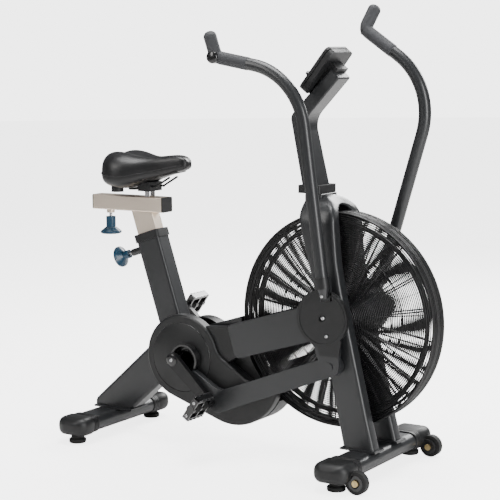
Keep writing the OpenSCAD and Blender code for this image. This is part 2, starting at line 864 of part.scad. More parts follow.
module saddle_rails() {
  knuckle_r = 4.6;
  color("#2b2b2c") for (s = [-1, 1]) {
    y = s * 22;
    rod([stem_x - 40, y, 836], [stem_x + 40, y, 836], 3.5);
    for (e = [[40, 96, 868], [-40, -72, 851]]) {
      translate([stem_x + e[0], y, 836]) sphere(knuckle_r);
      rod([stem_x + e[0], y, 836], [stem_x + e[1], y, e[2]], 3.5);
    }
  }
}

// The saddle in plan: two seat lobes that narrow to one nose
module saddle_plan(r_out) {
  for (s = [-1, 1]) capsule([-482, s * 54], 62 + r_out, [-282, 0], 24 + r_out);
}

// A plate under the lobes, a sloped tongue under the nose, and two rubber springs behind
module saddle_base() {
  nose = [[-402, 858], [-290, 884], [-290, 890], [-402, 864]];
  color("#1a1a1b") {
    translate([0, 0, 856]) linear_extrude(8) intersection() {
      saddle_plan(-12);
      translate([-600, -150]) square([198, 300]);
    }
    side_plate(-30, 30) polygon(nose);
    for (s = [-1, 1]) translate([-512, s * 46, 816]) cylinder(r = 20, h = 40);
  }
}

module saddle_pad() {
  side = [[-560, 864], [-402, 864], [-250, 899.3], [-250, 938], [-300, 947], [-380, 938], [-470, 948],
          [-560, 944]];
  color("#141414") intersection() {
    translate([0, 0, 850]) linear_extrude(120) saddle_plan(-2);
    side_plate(-150, 150) polygon(side);
  }
}

/* ---------- levers ---------- */
lever_back = 7.6;
lever_line = [327, 544];
lever_straight = 509.5;
lever_bend_r = 210;
lever_turn = 72.1;
lever_top_len = 140;
grip_out = 24;
grip_up = 66;

// A lever's tube ends at the bend under the grip: places along it in side view
lever_dir = 90 + lever_back;
bend_start = lever_line + lever_straight * dir(lever_dir);
bend_centre = bend_start + lever_bend_r * dir(lever_dir + 90);
bend_end = bend_centre + lever_bend_r * dir(lever_dir - 90 + lever_turn);
grip_corner = bend_end + lever_top_len * dir(lever_dir + lever_turn);

lever_lap = 2;      // how far a straight run reaches into the bend
lever_foot = 30;    // length of the tapered foot of the tube

// The straight runs are a little thinner than the bend, and reach into its ends
module lever_tube() {
  r = lever_tube_d / 2;
  translate([lever_line[0], lever_y, lever_line[1]]) rotate([0, -lever_back, 0]) {
    cylinder(r1 = 10, r2 = r - 0.1, h = lever_foot);
    translate([0, 0, lever_foot]) cylinder(r = r - 0.1, h = lever_straight + lever_lap - lever_foot);
  }
  translate([bend_centre[0], lever_y, bend_centre[1]]) rotate([90, 0, 0])
    rotate([0, 0, lever_dir - 90]) rotate_extrude(angle = lever_turn, $fn = 96)
      translate([lever_bend_r, 0]) circle(r, $fn = 48);
  translate([bend_end[0], lever_y, bend_end[1]]) rotate([0, 90 - lever_dir - lever_turn, 0])
    translate([0, 0, -lever_lap]) cylinder(r = r - 0.1, h = lever_top_len + lever_lap);
}

// Plate, pivot hub and lower arm of a lever, in side view
module lever_plate_shape() {
  capsule(pivot_c, 58, pivot_c + pin_from_pivot, 31);
  capsule(lever_line + 50 * dir(lever_dir), 17, pivot_c, 30);
}

module lever() {
  pin = pivot_c + pin_from_pivot;
  difference() {
    union() {
      side_plate(arm_in, lever_plate_out) lever_plate_shape();
      lever_tube();
    }
    bar_y(pivot_c, pivot_shaft_r + gap, arm_in - 1, lever_plate_out + 1);
    // the tube's end is closed by the plate
    side_plate(lever_plate_out, 200) translate(pivot_c) circle(40);
  }
  bar_y(pin, 11, arm_in, lever_plate_out + 3);
  bar_y(pin, link_pin_r, link_in + 1, arm_in + 1);
}

// Sleeve over the tube's top run, the upright end of the grip and its side plug
module grip() {
  r = lever_tube_d / 2;
  corner = [grip_corner[0], lever_y, grip_corner[1]];
  rise = [-6, grip_out, grip_up];
  up = rise / norm(rise);
  sleeve = 118;
  grip_t = 1;
  difference() {
    union() {
      translate(corner) rotate([0, 90 - lever_dir - lever_turn + 180, 0]) cylinder(r = r + grip_t, h = sleeve);
      sphere_at(corner, r + 2.5);
      rod(corner, corner + rise, r + grip_t);
      rod(corner + rise - 2 * up, corner + rise + 12 * up, r - 2);
      translate(corner) rotate([-90, 0, 0]) cylinder(r = r - 1.5, h = 27);
    }
    translate([bend_end[0], lever_y, bend_end[1]]) rotate([0, 90 - lever_dir - lever_turn, 0])
      cylinder(r = r, h = lever_top_len);
  }
}

module sphere_at(p, r) {
  translate(p) sphere(r);
}

// Dark cover over a lever's pivot, with the collar round the foot of the tube
module pivot_cover() {
  r = lever_tube_d / 2;
  wall = 3;
  difference() {
    union() {
      side_plate(lever_plate_out + 0.3, pivot_cover_out) {
        translate(pivot_c) circle(86, $fn = 120);
        polygon([pivot_c + [-20, -60], pivot_c + [66, -60], pivot_c + [58, -112], pivot_c + [-8, -112]]);
      }
      ring_y(pivot_c, 86, 86 - wall, arm_in, lever_plate_out + 1);
    }
    translate([lever_line[0], lever_y, lever_line[1]]) rotate([0, -lever_back, 0]) translate([0, 0, -10])
      cylinder(r = r + 3.4, h = 100);
    bar_y(pivot_c, 10, 100, 200);
    side_plate(arm_in - 1, lever_plate_out + 0.2) lever_plate_shape();
  }
  difference() {
    translate([lever_line[0], lever_y, lever_line[1]]) rotate([0, -lever_back, 0])
      translate([0, 0, lever_foot]) cylinder(r = r + 3, h = 34);
    translate([lever_line[0], lever_y, lever_line[1]]) rotate([0, -lever_back, 0]) translate([0, 0, 20])
      cylinder(r = r, h = 60);
    side_plate(arm_in - 1, lever_plate_out + 0.2) lever_plate_shape();
  }
}

// The left lever is the right one mirrored and swung forward about the pivot
module left_side_pose() {
  translate([pivot_c[0], 0, pivot_c[1]]) rotate([0, lever_split, 0]) translate([-pivot_c[0], 0, -pivot_c[1]])
    children();
}

module lever_right() {
  color("#4a4c4f") mirror([0, 1, 0]) lever();
}

module lever_left() {
  color("#4a4c4f") left_side_pose() lever();
}

module grip_right() {
  color("#222325") mirror([0, 1, 0]) grip();
}

module grip_left() {
  color("#222325") left_side_pose() grip();
}

module pivot_cover_right() {
  color("#242628") mirror([0, 1, 0]) pivot_cover();
}

module pivot_cover_left() {
  color("#242628") left_side_pose() pivot_cover();
}

// A link from the ring round an eccentric to the foot of a lever, with a bend ahead of the crank
link_bend = [-78, 176];
link_neck = [-195, 262];
module link(rear, front, turn) {
  bend = front + rot2(turn) * (link_bend - right_front);
  neck = rear + rot2(turn) * (link_neck - right_rear);
  difference() {
    side_plate(link_in, link_out) {
      capsule(front, 30, bend, 33);
      capsule(bend, 33, neck, 21);
      translate(rear) circle(50, $fn = 96);
    }
    bar_y(rear, ring_r, link_in - 1, link_out + 1);
    bar_y(front, link_pin_r + gap, link_in - 1, link_out + 1);
  }
}

module link_right() {
  color("#484a4d") mirror([0, 1, 0]) link(right_rear, right_front, 0);
}

module link_left() {
  color("#484a4d") link(left_rear, left_front,
    bearing_of(left_rear - left_front) - bearing_of(right_rear - right_front));
}

/* ---------- wheels and fasteners ---------- */
module wheel() {
  ring_y([wheel_x, wheel_r], wheel_r, wheel_bolt_r + gap, wheel_y[0], wheel_y[1]);
}

module wheel_left() {
  color("#1c1c1d") wheel();
}

module wheel_right() {
  color("#1c1c1d") mirror([0, 1, 0]) wheel();
}

// Wheel bolts on the end caps
module fasteners() {
  color("#b59a62") both_sides() {
    bar_y([wheel_x, wheel_r], wheel_bolt_r, 218, wheel_y[1] + 1);
    bar_y([wheel_x, wheel_r], 10, wheel_y[1] + 0.6, wheel_y[1] + 5);
    bar_y([wheel_x, wheel_r], 10, 214, 219.9);
  }
}

rear_stabilizer();
front_stabilizer();
rear_end_caps();
front_end_caps();
feet();
rear_beam();
main_beam();
seat_tube();
seat_tube_collar();
side_arms();
leg_left();
leg_right();
yoke();
mast_collar();
mast();
console_bracket();
console_case();
console_screen();
housing_right();
housing_left();
belly_cover();
crank_covers();
cage_left();
cage_right();
bearings();
drive_belts();
fasteners();
seat_post();
slider_tube();
slider_end_caps();
height_knob();
height_pin();
slider_knob();
slider_pin();
saddle_carriage();
saddle_clamp();
saddle_rails();
saddle_base();
saddle_pad();
crank_axle();
crank_pulley();
crank_right();
crank_left();
pedal_right();
pedal_left();
jackshaft();
fan_wheel();
fan_axle();
lever_right();
lever_left();
grip_right();
grip_left();
pivot_cover_right();
pivot_cover_left();
link_right();
link_left();
wheel_right();
wheel_left();
button_start();
button_stop();
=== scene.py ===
"""Looks of the air bike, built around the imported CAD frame."""
import json
import math
import bpy
import bmesh
from mathutils import Matrix, Vector


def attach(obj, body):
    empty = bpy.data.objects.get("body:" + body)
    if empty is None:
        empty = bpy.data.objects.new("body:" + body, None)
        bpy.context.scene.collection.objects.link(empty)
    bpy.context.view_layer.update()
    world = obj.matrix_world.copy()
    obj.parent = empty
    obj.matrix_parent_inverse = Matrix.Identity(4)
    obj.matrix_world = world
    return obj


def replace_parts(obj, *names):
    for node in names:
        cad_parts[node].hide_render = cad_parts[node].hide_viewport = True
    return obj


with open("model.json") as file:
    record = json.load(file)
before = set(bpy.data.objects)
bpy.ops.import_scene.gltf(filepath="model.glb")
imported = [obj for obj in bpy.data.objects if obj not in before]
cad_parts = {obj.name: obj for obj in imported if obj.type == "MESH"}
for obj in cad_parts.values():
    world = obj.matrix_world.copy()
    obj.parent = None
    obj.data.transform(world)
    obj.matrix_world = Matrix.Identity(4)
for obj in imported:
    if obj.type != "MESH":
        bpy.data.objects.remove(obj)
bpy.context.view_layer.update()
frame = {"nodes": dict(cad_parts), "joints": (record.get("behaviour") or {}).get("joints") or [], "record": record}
NODES = frame["nodes"]
RECORD = frame["record"]
JOINTS = {j["name"]: j for j in frame["joints"]}


# ---------------------------------------------------------------- materials
def new_material(name, colour, roughness, metallic=0.0, coat=0.0, coat_rough=0.1, specular=0.5,
                 sheen=0.0, mottle=(6.0, 0.12), grain=(500.0, 0.15, 0.0004), cells=None,
                 stretch=(1, 1, 1), rough_spread=0.08):
    """A Principled material with slow colour variation, uneven gloss and a fine surface relief."""
    mat = bpy.data.materials.new(name)
    mat.use_nodes = True
    tree = mat.node_tree
    shader = tree.nodes["Principled BSDF"]
    shader.inputs["Metallic"].default_value = metallic
    shader.inputs["Coat Weight"].default_value = coat
    shader.inputs["Coat Roughness"].default_value = coat_rough
    shader.inputs["Specular IOR Level"].default_value = specular
    shader.inputs["Sheen Weight"].default_value = sheen
    coords = tree.nodes.new("ShaderNodeTexCoord")
    mapping = tree.nodes.new("ShaderNodeMapping")
    mapping.inputs["Scale"].default_value = stretch
    tree.links.new(coords.outputs["Object"], mapping.inputs["Vector"])

    def noise(scale, detail, vector):
        node = tree.nodes.new("ShaderNodeTexNoise")
        node.inputs["Scale"].default_value = scale
        node.inputs["Detail"].default_value = detail
        tree.links.new(vector, node.inputs["Vector"])
        return node

    slow = noise(mottle[0], 4, coords.outputs["Object"])
    fine = noise(grain[0], 3, mapping.outputs["Vector"])
    blend = tree.nodes.new("ShaderNodeMath")
    blend.operation = "MULTIPLY_ADD"
    tree.links.new(fine.outputs["Fac"], blend.inputs[0])
    blend.inputs[1].default_value = grain[1] / max(mottle[1], 1e-4)
    tree.links.new(slow.outputs["Fac"], blend.inputs[2])
    ramp = tree.nodes.new("ShaderNodeValToRGB")
    spread = mottle[1] + grain[1]
    ramp.color_ramp.elements[0].position = 0.3
    ramp.color_ramp.elements[1].position = 0.5 + 1.1 * grain[1] / max(mottle[1], 1e-4)
    ramp.color_ramp.elements[0].color = (*[c * (1 - spread) for c in colour], 1)
    ramp.color_ramp.elements[1].color = (*[min(1, c * (1 + spread)) for c in colour], 1)
    tree.links.new(blend.outputs[0], ramp.inputs["Fac"])
    tree.links.new(ramp.outputs["Color"], shader.inputs["Base Color"])
    gloss = tree.nodes.new("ShaderNodeMapRange")
    gloss.inputs["To Min"].default_value = max(0.05, roughness - rough_spread)
    gloss.inputs["To Max"].default_value = min(1.0, roughness + rough_spread)
    tree.links.new(slow.outputs["Fac"], gloss.inputs["Value"])
    tree.links.new(gloss.outputs["Result"], shader.inputs["Roughness"])
    height = fine.outputs["Fac"]
    if cells:
        pits = tree.nodes.new("ShaderNodeTexVoronoi")
        pits.inputs["Scale"].default_value = cells
        tree.links.new(coords.outputs["Object"], pits.inputs["Vector"])
        both = tree.nodes.new("ShaderNodeMath")
        both.operation = "ADD"
        tree.links.new(fine.outputs["Fac"], both.inputs[0])
        tree.links.new(pits.outputs["Distance"], both.inputs[1])
        height = both.outputs[0]
    bump = tree.nodes.new("ShaderNodeBump")
    bump.inputs["Strength"].default_value = 0.5
    bump.inputs["Distance"].default_value = grain[2]
    tree.links.new(height, bump.inputs["Height"])
    tree.links.new(bump.outputs["Normal"], shader.inputs["Normal"])
    return mat


MATS = {
    "frame_metallic": new_material("frame_metallic", (0.0125, 0.0133, 0.0145), 0.4, metallic=0.1, coat=0.3,
                                   coat_rough=0.22, mottle=(3, 0.08), grain=(1300, 0.3, 0.00012)),
    "dark_plastic": new_material("dark_plastic", (0.006, 0.0063, 0.0068), 0.46, cells=700,
                                 mottle=(5, 0.12), grain=(900, 0.1, 0.00018)),
    "black_wire": new_material("black_wire", (0.004, 0.004, 0.0045), 0.38, coat=0.15, coat_rough=0.2,
                               specular=0.35,
                               mottle=(9, 0.15), grain=(700, 0.05, 0.00006)),
    "rubber": new_material("rubber", (0.008, 0.008, 0.008), 0.7, mottle=(18, 0.2),
                           grain=(600, 0.12, 0.0003), cells=500),
    "aluminium": new_material("aluminium", (0.80, 0.69, 0.575), 0.36, metallic=0.9, mottle=(5, 0.05),
                              grain=(60, 0.08, 0.00008), stretch=(1, 18, 18)),
    "steel": new_material("steel", (0.55, 0.55, 0.56), 0.28, metallic=1.0, mottle=(20, 0.12),
                          grain=(500, 0.1, 0.00006)),
    "brass": new_material("brass", (0.52, 0.40, 0.20), 0.3, metallic=1.0, mottle=(30, 0.15),
                          grain=(400, 0.1, 0.00006)),
    "knob_blue": new_material("knob_blue", (0.002, 0.040, 0.082), 0.36, coat=0.2, mottle=(25, 0.12),
                              grain=(700, 0.06, 0.00012)),
    "vinyl": new_material("vinyl", (0.0065, 0.0065, 0.007), 0.36, cells=420, mottle=(14, 0.2),
                          grain=(260, 0.15, 0.0005), specular=0.55),
    "foam": new_material("foam", (0.026, 0.027, 0.03), 0.62, cells=650, mottle=(30, 0.15),
                         grain=(900, 0.25, 0.0005), sheen=0.1),
    "gloss_black": new_material("gloss_black", (0.005, 0.005, 0.0055), 0.22, coat=0.5, mottle=(16, 0.2),
                                grain=(300, 0.05, 0.00005)),
    "screen": new_material("screen", (0.03, 0.042, 0.04), 0.14, coat=0.8, mottle=(12, 0.2),
                           grain=(900, 0.1, 0.00002)),
    "blade": new_material("blade", (0.006, 0.006, 0.007), 0.45, metallic=0.2, mottle=(9, 0.15),
                          grain=(600, 0.1, 0.0001)),
    "belt": new_material("belt", (0.015, 0.015, 0.015), 0.7, mottle=(20, 0.2), grain=(500, 0.1, 0.0003)),
    "button_green": new_material("button_green", (0.03, 0.2, 0.08), 0.4, mottle=(40, 0.1)),
    "button_red": new_material("button_red", (0.3, 0.03, 0.025), 0.4, mottle=(40, 0.1)),
}


# ---------------------------------------------------------------- mesh helpers
def piece(name, verts, faces, slot, body, smooth=40, bevel=0.0, subsurf=0):
    mesh = bpy.data.meshes.new(name)
    mesh.from_pydata([tuple(v) for v in verts], [], faces)
    mesh.validate()
    bm = bmesh.new()
    bm.from_mesh(mesh)
    bmesh.ops.recalc_face_normals(bm, faces=bm.faces)
    bm.to_mesh(mesh)
    bm.free()
    obj = bpy.data.objects.new(name, mesh)
    bpy.context.scene.collection.objects.link(obj)
    mesh.materials.append(MATS[slot])
    if smooth:
        mesh.shade_smooth()
        mesh.set_sharp_from_angle(angle=math.radians(smooth))
    if bevel:
        add_bevel(obj, bevel)
    if subsurf:
        mod = obj.modifiers.new("round", "SUBSURF")
        mod.levels = mod.render_levels = subsurf
    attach(obj, body)
    return obj


def add_bevel(obj, width, segments=2, angle=32):
    mod = obj.modifiers.new("edges", "BEVEL")
    mod.width = width
    mod.segments = segments
    mod.limit_method = "ANGLE"
    mod.angle_limit = math.radians(angle)
    mod.harden_normals = True


def join(parts):
    """Joins (verts, faces) pairs into one."""
    verts, faces = [], []
    for v, f in parts:
        base = len(verts)
        verts += list(v)
        faces += [tuple(base + i for i in q) for q in f]
    return verts, faces


def tube(points, radius, sides=8, closed=False):
    """A round tube along a list of points. radius is one number, or one for each point."""
    pts = [Vector(p) for p in points]
    n = len(pts)
    radii = radius if isinstance(radius, (list, tuple)) else [radius] * n
    verts, faces = [], []
    normal = None
    for i, p in enumerate(pts):
        ahead = pts[(i + 1) % n] if closed or i < n - 1 else p
        behind = pts[i - 1] if closed or i > 0 else p
        t = (ahead - behind).normalized()
        if normal is None:
            normal = t.orthogonal().normalized()
        normal = (normal - t * normal.dot(t)).normalized()
        side = t.cross(normal)
        for k in range(sides):
            a = 2 * math.pi * k / sides
            verts.append(p + (normal * math.cos(a) + side * math.sin(a)) * radii[i])
    for i in range(n if closed else n - 1):
        for k in range(sides):
            a, b = i * sides + k, i * sides + (k + 1) % sides
            c = ((i + 1) % n) * sides
            faces.append((a, b, c + (k + 1) % sides, c + k))
    if not closed:
        faces.append(tuple(range(sides))[::-1])
        faces.append(tuple((n - 1) * sides + k for k in range(sides)))
    return verts, faces


def lathe(profile, origin, axis, steps=48, closed=False):
    """Spins (radius, height) points about axis through origin; the profile runs from end to end."""
    axis = Vector(axis).normalized()
    u = axis.orthogonal().normalized()
    w = axis.cross(u)
    origin = Vector(origin)
    verts, faces = [], []
    for r, h in profile:
        for k in range(steps):
            a = 2 * math.pi * k / steps
            verts.append(origin + axis * h + (u * math.cos(a) + w * math.sin(a)) * r)
    m = len(profile)
    for i in range(m if closed else m - 1):
        for k in range(steps):
            a, b = i * steps + k, i * steps + (k + 1) % steps
            c, d = ((i + 1) % m) * steps + (k + 1) % steps, ((i + 1) % m) * steps + k
            faces.append((a, b, c, d))
    if not closed:
        faces.append(tuple(range(steps))[::-1])
        faces.append(tuple((m - 1) * steps + k for k in range(steps)))
    return verts, faces


def ring(centre, radius, thick, y, steps=160, sides=6):
    return tube([(centre[0] + radius * math.cos(2 * math.pi * k / steps), y,
                  centre[1] + radius * math.sin(2 * math.pi * k / steps)) for k in range(steps)],
                thick, sides, closed=True)


def bolt_parts(at, axis, r=0.0075, h=0.005, socket=0.45):
    """A domed screw head with a hexagon socket."""
    axis = Vector(axis).normalized()
    dome = [(r * 0.98, 0), (r, 0.25 * h), (r * 0.93, 0.62 * h), (r * 0.72, 0.93 * h), (r * socket, h)]
    verts, faces = lathe(dome, at, axis, 24)
    faces.pop()
    hexed = lathe([(r * socket, h), (r * socket * 0.95, h * 0.35)], at, axis, 6)
    faces_in = hexed[1][:-2] + [hexed[1][-1]]
    top = lathe([(r * socket * 1.03, h * 0.99), (r * socket * 0.2, h * 0.3)], at, axis, 24)
    return join([(verts, faces), (hexed[0], faces_in), (top[0], top[1][:-2] + [top[1][-1]])])


def bolts(name, spots, body, slot="steel"):
    return piece(name, *join([bolt_parts(*s) for s in spots]), slot, body, smooth=35)


# ---------------------------------------------------------------- CAD nodes keep their shape
BEVELS = {"housing_left": 0.005, "belly_cover": 0.004, "pivot_cover_right": 0.0022,
          "pivot_cover_left": 0.0022, "rear_beam": 0.0, "front_end_caps": 0.004, "rear_end_caps": 0.004,
          "console_case": 0.0025, "side_arms": 0.005,
          "main_beam": 0.004, "mast": 0.005, "mast_collar": 0.003, "seat_tube_collar": 0.003,
          "link_right": 0.005, "link_left": 0.005, "crank_right": 0.0025, "crank_left": 0.0025,
          "seat_post": 0.0, "slider_tube": 0.001, "bearings": 0.0, "drive_belts": 0.0,
          "wheel_right": 0.004, "wheel_left": 0.004, "feet": 0.0015, "slider_end_caps": 0.0012,
          "pedal_right": 0.0012, "pedal_left": 0.0012, "crank_covers": 0.0015}
for part in RECORD["subparts"]:
    node = NODES[part["node"]]
    node.data.materials.clear()
    node.data.materials.append(MATS[part["material_slot"]])
    width = BEVELS.get(part["node"], 0.0008)
    if width:
        add_bevel(node, width, 3 if width > 0.002 else 2)

# ---------------------------------------------------------------- places, from the joints
CRANK = Vector(JOINTS["crank_spin"]["pos_m"])
FAN = Vector(JOINTS["fan_spin"]["pos_m"])
PIVOT = Vector(JOINTS["lever_right_swing"]["pos_m"])
SPLIT = math.radians(24.5)
# cosine and sine of the pedals' tilt
PITCH = (math.cos(math.radians(55)), math.sin(math.radians(55)))
# distance of the eccentric discs' centres from the crank axis
THROW = 0.031
# inner and outer side of the legs, from the middle plane
LEG_IN, LEG_OUT = 0.048, 0.094
GRIP_R = 0.0201
# corner of the right grip, x and z
ELBOW = (-0.049, 1.253)


# ---------------------------------------------------------------- fan cage
def dome_y(r):
    """Depth of the cage's side at a radius, from the middle plane."""
    points = [(0.0, 0.0440), (0.07, 0.0432), (0.195, 0.0388), (0.302, 0.0386), (0.322, 0.0368),
              (0.329, 0.031)]
    for (r0, y0), (r1, y1) in zip(points, points[1:]):
        if r <= r1:
            return y0 + (y1 - y0) * (r - r0) / (r1 - r0)
    return points[-1][1]


def cage(side, name, node):
    centre = (FAN.x, FAN.z)
    parts = []
    wires = 44
    for i in range(wires):
        r = 0.066 + (0.320 - 0.066) * i / (wires - 1)
        parts.append(ring(centre, r, 0.0018, side * dome_y(r), 144, 6))
    for r, thick, y in ((0.3262, 0.0034, 0.0335), (0.327, 0.0026, 0.026), (0.3275, 0.0022, 0.0175),
                        (0.3275, 0.0022, 0.009), (0.3262, 0.0036, 0.0036), (0.306, 0.0026, 0.0368),
                        (0.19, 0.0020, 0.0368), (0.07, 0.0025, 0.0405)):
        parts.append(ring(centre, r, thick, side * y, 144, 8))
    spokes = 18
    for i in range(spokes):
        a = 2 * math.pi * (i + 0.5) / spokes
        route = []
        for k in range(15):
            r = 0.045 + (0.3245 - 0.045) * k / 14
            route.append((centre[0] + r * math.cos(a), side * (dome_y(r) - 0.003),
                          centre[1] + r * math.sin(a)))
        route += [(centre[0] + 0.3255 * math.cos(a), side * y, centre[1] + 0.3255 * math.sin(a))
                  for y in (0.02, 0.003)]
        parts.append(tube(route, 0.0022, 8))
    hub = [(0.029, 0.0400), (0.029, 0.0440), (0.034, 0.0448), (0.056, 0.0445), (0.068, 0.0432),
           (0.0685, 0.0405),
           (0.060, 0.0400)]
    parts.append(lathe(hub, (FAN.x, 0, FAN.z), (0, side, 0), 72, closed=True))
    obj = piece(name, *join(parts), "black_wire", "frame", smooth=60)
    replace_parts(obj, node)


cage(1, "cage_wires_left", "cage_left")
cage(-1, "cage_wires_right", "cage_right")


# ---------------------------------------------------------------- saddle
def saddle():
    """A moulded pad: two lobes behind, a long nose in front, a channel down the middle."""
    # along the saddle: x, half width, top of the pad, bottom of the skirt, roundness of the top
    stations = [(-0.5605, 0.034, 0.918, 0.876), (-0.555, 0.068, 0.935, 0.856), (-0.541, 0.094, 0.947, 0.840),
                (-0.520, 0.110, 0.953, 0.832), (-0.494, 0.117, 0.953, 0.828), (-0.466, 0.115, 0.948, 0.827),
                (-0.438, 0.103, 0.941, 0.835), (-0.411, 0.082, 0.936, 0.846), (-0.384, 0.061, 0.935, 0.857),
                (-0.352, 0.045, 0.938, 0.866), (-0.320, 0.036, 0.942, 0.876), (-0.290, 0.031, 0.943, 0.884),
                (-0.266, 0.0255, 0.937, 0.892), (-0.2535, 0.015, 0.925, 0.900)]
    across = 28
    verts, faces = [], []
    for x, half, top, low in stations:
        depth = top - low
        lobes = max(0.0, min(1.0, (half - 0.045) / 0.05))
        for k in range(across):
            a = 2 * math.pi * k / across
            c, s = math.cos(a), math.sin(a)
            y = half * math.copysign(abs(c) ** 0.72, c)
            if s >= 0:
                z = low + depth * (0.42 + 0.58 * s ** 0.62)
                centre = math.exp(-(y / (0.014 + 0.01 * lobes)) ** 2)
                z -= centre * (0.005 + 0.013 * lobes)
                z -= 0.010 * lobes * (abs(y) / half) ** 3
            else:
                z = low + depth * 0.42 * (1 - abs(s) ** 0.5)
            verts.append((x, y, z))
    n = len(stations)
    for i in range(n - 1):
        for k in range(across):
            a, b = i * across + k, i * across + (k + 1) % across
            faces.append((a, b, b + across, a + across))
    faces.append(tuple(range(across))[::-1])
    faces.append(tuple((n - 1) * across + k for k in range(across)))
    obj = piece("saddle_cover", verts, faces, "vinyl", "saddle", smooth=180, subsurf=2)
    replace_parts(obj, "saddle_pad")
    # welt between cover and base
    seam = []
    for side in (1, -1):
        row = [(x, side * (half * 0.985 + 0.0005), low + (top - low) * 0.36) for x, half, top,
               low in stations[1:-1]]
        seam.append(tube(row if side == 1 else row, 0.0016, 8))
    piece("saddle_welt", *join(seam), "vinyl", "saddle", smooth=80)


saddle()


# ---------------------------------------------------------------- screws, bosses and rings
def turn_about_pivot(p, angle):
    """p turned about the lever pivot by angle, top forward."""
    d = Vector(p) - Vector((PIVOT.x, 0, PIVOT.z))
    c, s = math.cos(angle), math.sin(angle)
    return Vector((PIVOT.x + d.x * c + d.z * s, p[1], PIVOT.z - d.x * s + d.z * c))


for side, label in ((-1, "right"), (1, "left")):
    angle = 0 if side == -1 else SPLIT
    cover_y = side * 0.1352
    spots = [((0.317, cover_y, 0.483), 0.006), ((0.329, cover_y, 0.429), 0.005)]
    bolts(f"pivot_screws_{label}",
          [(turn_about_pivot(p, angle), (0, side, 0), r, 0.0045) for p, r in spots], f"lever_{label}")
    foot = turn_about_pivot((0.3255, side * 0.1562, 0.552), angle)
    bolts(f"lever_screw_{label}", [(foot, (0, side, 0), 0.005, 0.004)], f"lever_{label}")
    # groove ring in the pivot cover's rim
    rim = lathe([(0.0795, 0.0), (0.0795, 0.0012), (0.0775, 0.0018), (0.0755, 0.0012), (0.0755, 0.0)],
                (PIVOT.x, side * 0.135, PIVOT.z), (0, side, 0), 96, closed=True)
    piece(f"pivot_rim_{label}", *rim, "dark_plastic", f"lever_{label}", smooth=50)
    # crank end cap and ringed boss
    cap = lathe([(0.0195, 0.0), (0.0195, 0.0018), (0.016, 0.0036), (0.008, 0.0040), (0.0002, 0.0040)],
                (CRANK.x, side * 0.137, CRANK.z), (0, side, 0), 40)
    piece(f"crank_cap_{label}", *cap, "gloss_black", "crank", smooth=40)
    bolts(f"crank_bolt_{label}", [((CRANK.x, side * 0.1405, CRANK.z), (0, side, 0), 0.0055, 0.003)], "crank")
    end = Vector(JOINTS[f"pedal_{label}_spin"]["pos_m"])
    nut = lathe([(0.013, 0.0), (0.013, 0.002), (0.0115, 0.0035), (0.0075, 0.0035)],
                (end.x, side * 0.1365, end.z), (0, side, 0), 6)
    piece(f"spindle_nut_{label}", *nut, "steel", "crank", smooth=20)
    # pedal's black cage plates with steel edge strips, screws and ribbed barrel
    def on_pedal(along, y, up):
        return Vector((end.x + along * PITCH[0] - up * PITCH[1], side * y,
                       end.z + along * PITCH[1] + up * PITCH[0]))

    plates = []
    for along in (-0.0402, 0.0402):
        rows = [on_pedal(along + k, 0.148 + 0.0049 * n, h) for n in range(17) for h in
                ((-0.0135, 0.0135) if n % 4 < 2 else (-0.0105, 0.0105)) for k in (-0.0009, 0.0009)]
        faces = []
        for n in range(16):
            a, b = 4 * n, 4 * n + 4
            faces += [(a, a + 2, b + 2, b), (a + 1, b + 1, b + 3, a + 3), (a, b, b + 1, a + 1),
                      (a + 2, a + 3, b + 3, b + 2)]
        faces += [(0, 1, 3, 2), (64, 66, 67, 65)]
        plates.append(([tuple(p) for p in rows], faces))
    piece(f"pedal_plates_{label}", *join(plates), "gloss_black", f"pedal_{label}")
    strips = []
    for along in (-0.0415, 0.0415):
        for up in (-0.0105, 0.0105):
            a, b = on_pedal(along, 0.150, up), on_pedal(along, 0.226, up)
            strips.append(tube([a, b], 0.0012, 8))
    piece(f"pedal_edges_{label}", *join(strips), "steel", f"pedal_{label}", smooth=60)
    bolts(f"pedal_screws_{label}",
          [(on_pedal(s * 0.026, 0.2335, 0), (0, side, 0), 0.0052, 0.0028) for s in (-1, 1)],
          f"pedal_{label}")
    ribs = [lathe([(0.0142, y), (0.0158, y + 0.001), (0.0158, y + 0.003), (0.0142, y + 0.004)],
                  (end.x, 0, end.z), (0, side, 0), 32)
            for y in (0.157, 0.163, 0.169, 0.175, 0.196, 0.202, 0.208, 0.214)]
    piece(f"pedal_ribs_{label}", *join(ribs), "rubber", f"pedal_{label}", smooth=40)
    # stepped boss between cover and eccentric disc, and the ring at the link's end
    boss = lathe([(0.030, 0.0844), (0.030, 0.0853), (0.018, 0.0853)], (CRANK.x, 0, CRANK.z), (0, side, 0), 64)
    piece(f"crank_boss_{label}", *boss, "gloss_black", "frame", smooth=40)
    eye = CRANK.x - side * THROW
    for k, (r, y) in enumerate(((0.037, 0.0955), (0.028, 0.0955))):
        step = lathe([(r, y), (r, y + 0.0004 + 0.0003 * k), (r - 0.003, y + 0.0008), (r - 0.006, y + 0.0004)],
                     (eye, 0, CRANK.z), (0, side, 0), 64)
        piece(f"disc_step_{label}_{k}", *step, "gloss_black", "crank", smooth=40)
    # wheel face
    hub = lathe([(0.024, 0.0), (0.0235, 0.0012), (0.014, 0.0016), (0.0115, 0.0004)],
                (0.492, side * 0.252, 0.034), (0, side, 0), 48)
    piece(f"wheel_face_{label}", *hub, "gloss_black", f"wheel_{label}", smooth=40)


